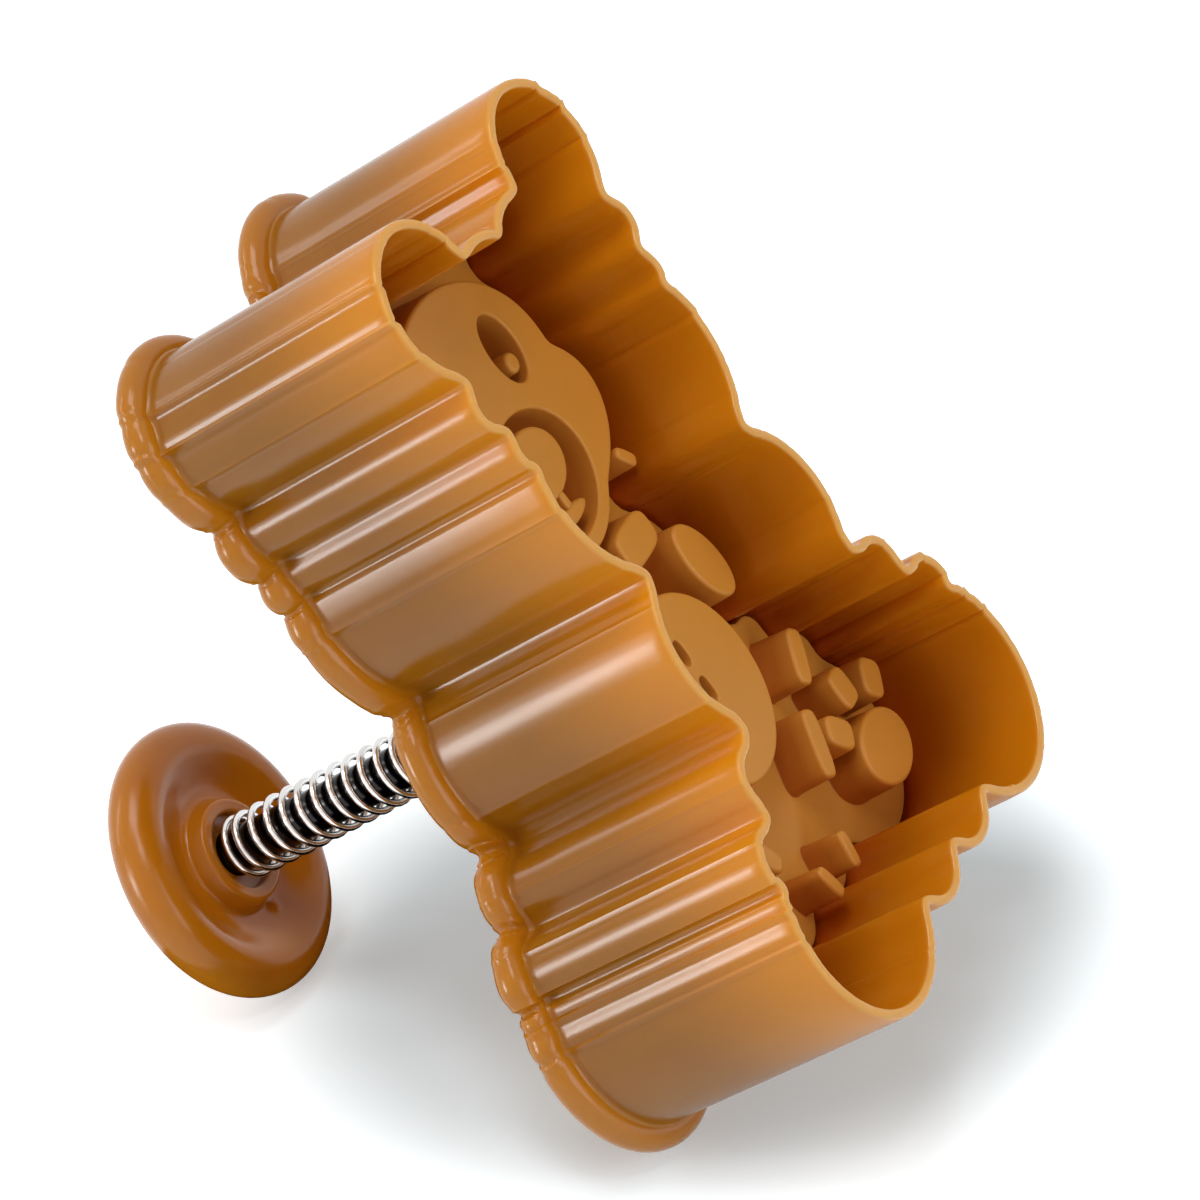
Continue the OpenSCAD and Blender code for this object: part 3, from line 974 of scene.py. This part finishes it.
class CUTTER_OT_knob(bpy.types.Operator):
    """Spins the round knob with its rolled rim, dish and collar, and the plug in its face"""

    bl_idname = "cutter.knob"
    bl_label = "Knob and plug"

    def section(self, s, dish_z):
        """Half section of the knob: its face, rim, dish, collar and holes."""
        rim_r, collar_r = mm(s.rim_r), mm(s.collar_r)
        rim_at, foot_r = mm(s.radius) - rim_r, collar_r + 0.9
        top = SEAT_Z + mm(s.collar_h)
        plug_r, plug_z = PLUG_HOLE
        head_r, head_z = HEAD_HOLE
        points = [(plug_r, 0.0)]
        points += rounded((rim_at, rim_r), 270, 180, rim_r, RIM_STEPS)
        for k in range(1, DISH_STEPS):
            along = 1 - k / DISH_STEPS
            r = foot_r + (rim_at - foot_r) * along
            points.append((r, dish_z + mm(s.dish) * (1 - math.cos(math.pi * along)) / 2))
        points += rounded((foot_r, dish_z + COLLAR_FOOT), 270, -62, COLLAR_FOOT, 6)
        points += rounded((collar_r - COLLAR_ROUND, top - COLLAR_ROUND), 28, 84, COLLAR_ROUND, 8)
        points += rounded((4.15, SEAT_Z + 0.75), 100, 80, SEAT_LIP, 5)
        points += [(3.68, SEAT_Z + 0.1), (3.5, SEAT_Z), (2.3, SEAT_Z), (SOCKET_R, SEAT_Z - 0.18),
                   (SOCKET_R, SOCKET_Z), (SCREW_HOLE_R, SOCKET_Z), (SCREW_HOLE_R, head_z),
                   (head_r, head_z), (head_r, plug_z), (plug_r, plug_z)]
        return points

    def raise_gate(self, piece, dish_z):
        """Raises the small mark of the mould's gate out of the dish."""
        centre = Vector((*GATE_AT, dish_z))
        bm = bmesh.from_edit_mesh(piece.data)
        for vert in bm.verts:
            vert.co.z += GATE_H * bell((vert.co - centre).length, GATE_R)
        bmesh.update_edit_mesh(piece.data)

    def execute(self, context):
        s = context.scene.cutter_knob
        colours = context.scene.cutter_colours
        dish_z = 2 * mm(s.rim_r) - mm(s.dish)
        piece = spun_piece("knob_moulding", self.section(s, dish_z), 160)
        self.raise_gate(piece, dish_z)
        finish = finished(
            "knob_caramel", plastic, colours.knob, colours.knob_deep,
            gloss=0.13, grain=0.80, glow=0.35)
        finish_piece(piece, "plunger", finish, ["plunger_knob"])

        edge = PLUG_R - PLUG_ROUND
        section = [(0, PLUG_DIMPLE), (2.9, PLUG_DIMPLE), (3.0, 0.04), (3.1, 0.0)]
        section += rounded((edge, PLUG_ROUND), 270, 90, PLUG_ROUND, 3)
        section += rounded((edge, PLUG_T - PLUG_ROUND), 0, 90, PLUG_ROUND, 3)
        section += [(0, PLUG_T)]
        piece = spun_piece("plug_moulding", section, 96)
        finish_piece(piece, "plunger", finish, ["knob_plug"])
        return {"FINISHED"}


# Shaft, spring and fasteners

# Hole for the screw's thread in the shaft: radius and depth in millimetres
THREAD_HOLE = (1.27, 6.4)

# Rounded ends of the shaft and steps along it
SHAFT_END = 0.5
SHAFT_STEPS = 12

# The washer: radii of its bore and rim, and rounding of their edges, in millimetres
WASHER_BORE_R = 2.4
WASHER_R = 4.6
BORE_ROUND = 0.1
RIM_ROUND = 0.15


class CUTTER_OT_shaft(bpy.types.Operator):
    """Spins the polished shaft and the washer under the shell, and dresses the screw"""

    bl_idname = "cutter.shaft"
    bl_label = "Shaft, washer and screw"

    def execute(self, context):
        colours = context.scene.cutter_colours
        r = mm(context.scene.cutter_knob.shaft_r)
        hole_r, hole_depth = THREAD_HOLE
        straight = SHAFT_TOP_Z - SOCKET_Z - 2 * SHAFT_END
        section = [(hole_r, SOCKET_Z), (r - 0.4, SOCKET_Z), (r - 0.1, SOCKET_Z + 0.25),
                   (r, SOCKET_Z + SHAFT_END)]
        section += [(r, SOCKET_Z + SHAFT_END + straight * k / SHAFT_STEPS)
                    for k in range(1, SHAFT_STEPS + 1)]
        section += [(r - 0.1, SHAFT_TOP_Z - 0.25), (r - 0.4, SHAFT_TOP_Z), (0, SHAFT_TOP_Z),
                    (0, SOCKET_Z + hole_depth), (hole_r, SOCKET_Z + hole_depth)]
        piece = spun_piece("shaft_rod", section, 64)
        finish = finished("polished_shaft", steel, colours.shaft,
                          gloss=0.10, scratch=0.05, stretch=(0.1, 0.1, 4.0))
        finish_piece(piece, "plunger", finish, ["plunger_shaft"])

        bore, rim = WASHER_BORE_R + BORE_ROUND, WASHER_R - RIM_ROUND
        section = rounded((bore, WASHER_Z + BORE_ROUND), 270, -90, BORE_ROUND, 2)
        section += rounded((bore, BACK_Z - BORE_ROUND), 180, -90, BORE_ROUND, 2)
        section += rounded((rim, BACK_Z - RIM_ROUND), 90, -90, RIM_ROUND, 3)
        section += rounded((rim, WASHER_Z + RIM_ROUND), 0, -90, RIM_ROUND, 3)
        piece = spun_piece("washer_ring", section, 64)
        finish = finished("pressed_steel", steel, colours.steel,
                          gloss=0.16, scratch=0.10, stretch=(1.0, 1.0, 0.2))
        finish_piece(piece, "shell", finish, ["spring_washer"])

        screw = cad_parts["knob_screw"]
        screw.data.materials.clear()
        screw.data.materials.append(finish)
        return {"FINISHED"}


class CUTTER_OT_spring(bpy.types.Operator):
    """Winds the compression spring as one wire with both ends closed"""

    bl_idname = "cutter.spring"
    bl_label = "Spring"

    # Points to a turn, room between closed turns in millimetres, and steps in degrees of the bend
    # between each cut end and the coil
    rings = 28
    closed_gap = 0.45
    bends = (0, 15, 30, 45, 60, 75)

    def path(self, s):
        """The wire's centre line, from its cut end on the knob to the one at the washer."""
        coil_r, wire, height = mm(s.coil_r), 2 * mm(s.wire_r), mm(s.length)
        round_l = TAU * coil_r
        closed_pitch = wire + self.closed_gap
        open_pitch = (height - 2 * (2 * wire + closed_pitch)) / s.open_turns
        turns = s.open_turns + 2
        foot = [(0.0, 0.0)] + [(wire * (1 - c), wire * (1 + s)) for c, s in map(unit, self.bends)]
        coil = []
        for k in range(self.rings * turns + 1):
            done = k / self.rings
            closed = min(done, 1) + max(done - s.open_turns - 1, 0)
            coil.append((wire + done * round_l,
                         2 * wire + closed * closed_pitch + (done - closed) * open_pitch))
        length_round = 2 * wire + turns * round_l
        last = [(length_round - run, height - z) for run, z in reversed(foot)]
        return [
            Vector((coil_r * math.cos(run / coil_r), coil_r * math.sin(run / coil_r), SEAT_Z + z))
            for run, z in foot + coil + last]

    def execute(self, context):
        s = context.scene.cutter_spring
        colours = context.scene.cutter_colours
        points = self.path(s)
        bpy.ops.object.select_all(action="DESELECT")
        bpy.ops.curve.primitive_nurbs_path_add(location=(0, 0, 0))
        piece = context.active_object
        curve = piece.data
        curve.splines.clear()
        spline = curve.splines.new("POLY")
        spline.points.add(len(points) - 1)
        for point, place in zip(spline.points, points):
            point.co = (*place, 1)
        curve.dimensions = "3D"
        curve.bevel_depth = mm(s.wire_r)
        curve.bevel_resolution = 4
        curve.use_fill_caps = True
        bpy.ops.object.convert(target="MESH")
        piece = context.active_object
        piece.name = piece.data.name = "spring_wire"
        bpy.ops.object.mode_set(mode="EDIT")
        finish = finished("spring_wire_steel", steel, colours.steel,
                          gloss=0.12, scratch=0.05, stretch=(1.0, 1.0, 1.0))
        finish_piece(piece, "shell", finish, ["return_spring"], smooth=60)
        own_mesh(piece)
        return {"FINISHED"}


# The stage

# Camera's axes in the frame, the point that it looks at and its distance, in millimetres
RIGHT = Vector((0.32539, -0.58586, 0.74222))
UP = Vector((0.50124, 0.77245, 0.38998))
BACK = Vector((-0.80180, 0.24513, 0.54500))
AIM = Vector((23.41, -1.98, 38.03))
DISTANCE = 518.5
LENS = 168

# Lamps: name, direction along the camera's axes, distance and size in millimetres, power setting
LAMPS = [
    ("top_softbox", (-0.25, 0.80, 0.60), 650, (300, 300), "top"),
    ("side_softbox", (0.75, 0.15, 0.64), 650, (420, 420), "side"),
    ("strip_light", (-0.94, 0.34, 0.03), 620, (70, 320), "strip"),
    ("low_softbox", (-0.87, -0.26, 0.41), 620, (240, 290), "low"),
    ("low_core", (-0.87, -0.26, 0.41), 615, (110, 120), "core"),
    ("front_softbox", (-0.05, 0.52, 0.85), 650, (150, 120), "front"),
]

# What the cutter lies on, the knob's rim and the feet's bead: Y, Z and radius in millimetres
KNOB_ROLL = (-10.9, 2.6, 2.6)
FEET_ROLL = (-34.74, 40.6, 1.6)
FLOOR_GAP = 0.03

# The floor: its side in metres, its colour, and its glow as the camera sees it, dimmed in the middle of
# the cutter's shadow as a painted shadow and full outside it, with the distances in metres from that
# middle
FLOOR_SIDE = 4.0
FLOOR_COLOUR = (0.78, 0.87, 0.92)
SHADE = Vector((9.2, -32.1, 32.9))
PAINTED_SHADOW_FADE = (0.029, 0.050)
PAINTED_SHADOW_GLOW = (0.225, 0.25, 0.262)
OPEN_GLOW = (0.8, 0.8, 0.8)

# The dark card, a painted dark reflection in the knob: its sides in metres, and in millimetres its
# distance from the knob's roll towards the feet and its height over the floor
CARD_SIZE = (0.040, 0.050)
CARD_ALONG = 10
CARD_HEIGHT = 0.8


def in_view(right, up, back):
    """A direction given along the camera's axes."""
    return (RIGHT * right + UP * up + BACK * back).normalized()


def facing(towards):
    """Turn of a lamp that shines against the given direction."""
    across = UP.cross(towards).normalized()
    return Matrix((across, towards.cross(across), towards)).transposed().to_euler()


def resting_plane():
    """The floor's point under the knob's roll, its direction to the feet and its normal."""
    knob_y, knob_z, knob_r = KNOB_ROLL
    feet_y, feet_z, feet_r = FEET_ROLL
    span = math.hypot(feet_y - knob_y, feet_z - knob_z)
    along = Vector((0, (feet_y - knob_y) / span, (feet_z - knob_z) / span))
    square = Vector((0, along.z, -along.y))
    lean = math.asin((feet_r - knob_r) / span)
    normal = square * math.cos(lean) + along * math.sin(lean)
    return Vector((0, knob_y, knob_z)) - normal * (knob_r + FLOOR_GAP), along, normal


class CUTTER_OT_stage(bpy.types.Operator):
    """Sets the camera, the floor that the cutter lies on, the lamps and the world"""

    bl_idname = "cutter.stage"
    bl_label = "Stage"

    def plane(self, name, place, normal, size):
        """A flat sheet at a place in metres, of the given sides."""
        plane = added(name, bpy.ops.mesh.primitive_plane_add, size=1.0, location=place)
        plane.rotation_euler = normal.to_track_quat("Z", "Y").to_euler()
        plane.scale = (*size, 1)
        bpy.ops.object.transform_apply(location=True, rotation=True, scale=True)
        return plane

    def floor(self, place, normal):
        """White floor under the knob's rim and the feet, clear from below; its glow is dimmed round the
        middle of the cutter's shadow, a painted shadow.
        """
        floor = self.plane("stage_floor", place * MM, normal, (FLOOR_SIDE, FLOOR_SIDE))
        finish = Finish("stage_white")
        away = finish.node("ShaderNodeVectorMath", {"operation": "DISTANCE"},
                           {0: finish.place(), 1: SHADE * MM}, output="Value")
        # Painted shadow: the glow is low near the shadow's middle and rises outside it
        glow = finish.mix(away.ramp(*PAINTED_SHADOW_FADE), PAINTED_SHADOW_GLOW, OPEN_GLOW)
        finish.surface(
            Base_Color=FLOOR_COLOUR, Roughness=0.9, Specular_IOR_Level=0.0,
            Emission_Color=finish.mix(finish.seen(), (0, 0, 0), glow), Emission_Strength=1.0)
        behind = finish.node("ShaderNodeNewGeometry", output="Backfacing")
        clear = finish.node("ShaderNodeBsdfTransparent")
        finish.show(finish.node("ShaderNodeMixShader", {}, {0: behind, 1: finish.shader, 2: clear}))
        floor.data.materials.append(finish.material)

    def card(self, place, normal):
        """Dark card on the floor round the knob, seen only in the reflections: a painted dark reflection
        in the knob.
        """
        card = self.plane("stage_card", place * MM + normal * CARD_HEIGHT * MM, normal, CARD_SIZE)
        finish = Finish("stage_black")
        finish.surface(Base_Color=(0.01, 0.01, 0.01), Roughness=0.9, Specular_IOR_Level=0.0)
        card.data.materials.append(finish.material)
        card.visible_camera = card.visible_diffuse = card.visible_shadow = False
        card.visible_transmission = card.visible_volume_scatter = False

    def lamp(self, name, towards, distance, size, power):
        """A softbox that shines on the camera's aim, itself seen only in reflections."""
        lamp = added(name, bpy.ops.object.light_add, type="AREA",
                     location=(AIM + towards * distance) * MM)
        lamp.rotation_euler = facing(towards)
        lamp.data.shape = "RECTANGLE"
        lamp.data.size, lamp.data.size_y = size[0] * MM, size[1] * MM
        lamp.data.energy = power
        lamp.visible_camera = False

    def room(self, scene, ambient):
        """A world that lights the cutter weakly and shows as white."""
        scene.world = bpy.data.worlds.new("studio")
        shading = Shading(scene.world, "ShaderNodeOutputWorld")
        dim = shading.node("ShaderNodeBackground", {}, {"Color": (1, 1, 1), "Strength": ambient})
        white = shading.node("ShaderNodeBackground", {}, {"Color": (1, 1, 1)})
        shading.show(shading.node("ShaderNodeMixShader", {}, {0: shading.seen(), 1: dim, 2: white}))

    def camera(self, scene):
        """The camera at the photograph's place."""
        camera = added("studio_camera", bpy.ops.object.camera_add,
                       location=(AIM + BACK * DISTANCE) * MM)
        camera.rotation_euler = Matrix((RIGHT, UP, BACK)).transposed().to_euler()
        camera.data.lens, camera.data.sensor_width = LENS, 36
        camera.data.clip_start, camera.data.clip_end = 0.01, 20
        scene.camera = camera

    def execute(self, context):
        s = context.scene.cutter_stage
        place, along, normal = resting_plane()
        self.floor(place, normal)
        self.card(place + along * CARD_ALONG, normal)
        for name, towards, distance, size, setting in LAMPS:
            self.lamp(name, in_view(*towards), distance, size, getattr(s, setting))
        self.room(context.scene, s.ambient)
        self.camera(context.scene)
        context.scene.view_settings.view_transform = "Standard"
        return {"FINISHED"}


# Panel and registration

OPERATORS = (CUTTER_OT_shell, CUTTER_OT_stamp, CUTTER_OT_knob, CUTTER_OT_shaft,
             CUTTER_OT_spring, CUTTER_OT_stage)


class CUTTER_PT_panel(bpy.types.Panel):
    """Sizes and colours of the cutter, and a button for each of its pieces"""

    bl_idname = "CUTTER_PT_panel"
    bl_label = "Plunger cookie cutter"
    bl_space_type = "VIEW_3D"
    bl_region_type = "UI"
    bl_category = "Cutter"

    def draw(self, context):
        for name, group in SETTINGS.items():
            box = self.layout.box()
            for key in group.__annotations__:
                box.prop(getattr(context.scene, name), key)
        for operator in OPERATORS:
            self.layout.operator(operator.bl_idname)


CLASSES = (*SETTINGS.values(), *OPERATORS, CUTTER_PT_panel)


def register():
    for group in CLASSES:
        bpy.utils.register_class(group)
    for name, group in SETTINGS.items():
        setattr(bpy.types.Scene, name, bpy.props.PointerProperty(type=group))


def unregister():
    for name in SETTINGS:
        delattr(bpy.types.Scene, name)
    for group in reversed(CLASSES):
        bpy.utils.unregister_class(group)


def main():
    register()
    bpy.ops.cutter.shell()
    bpy.ops.cutter.stamp()
    bpy.ops.cutter.knob()
    bpy.ops.cutter.shaft()
    bpy.ops.cutter.spring()
    bpy.ops.cutter.stage()


if __name__ == "__main__":
    main()
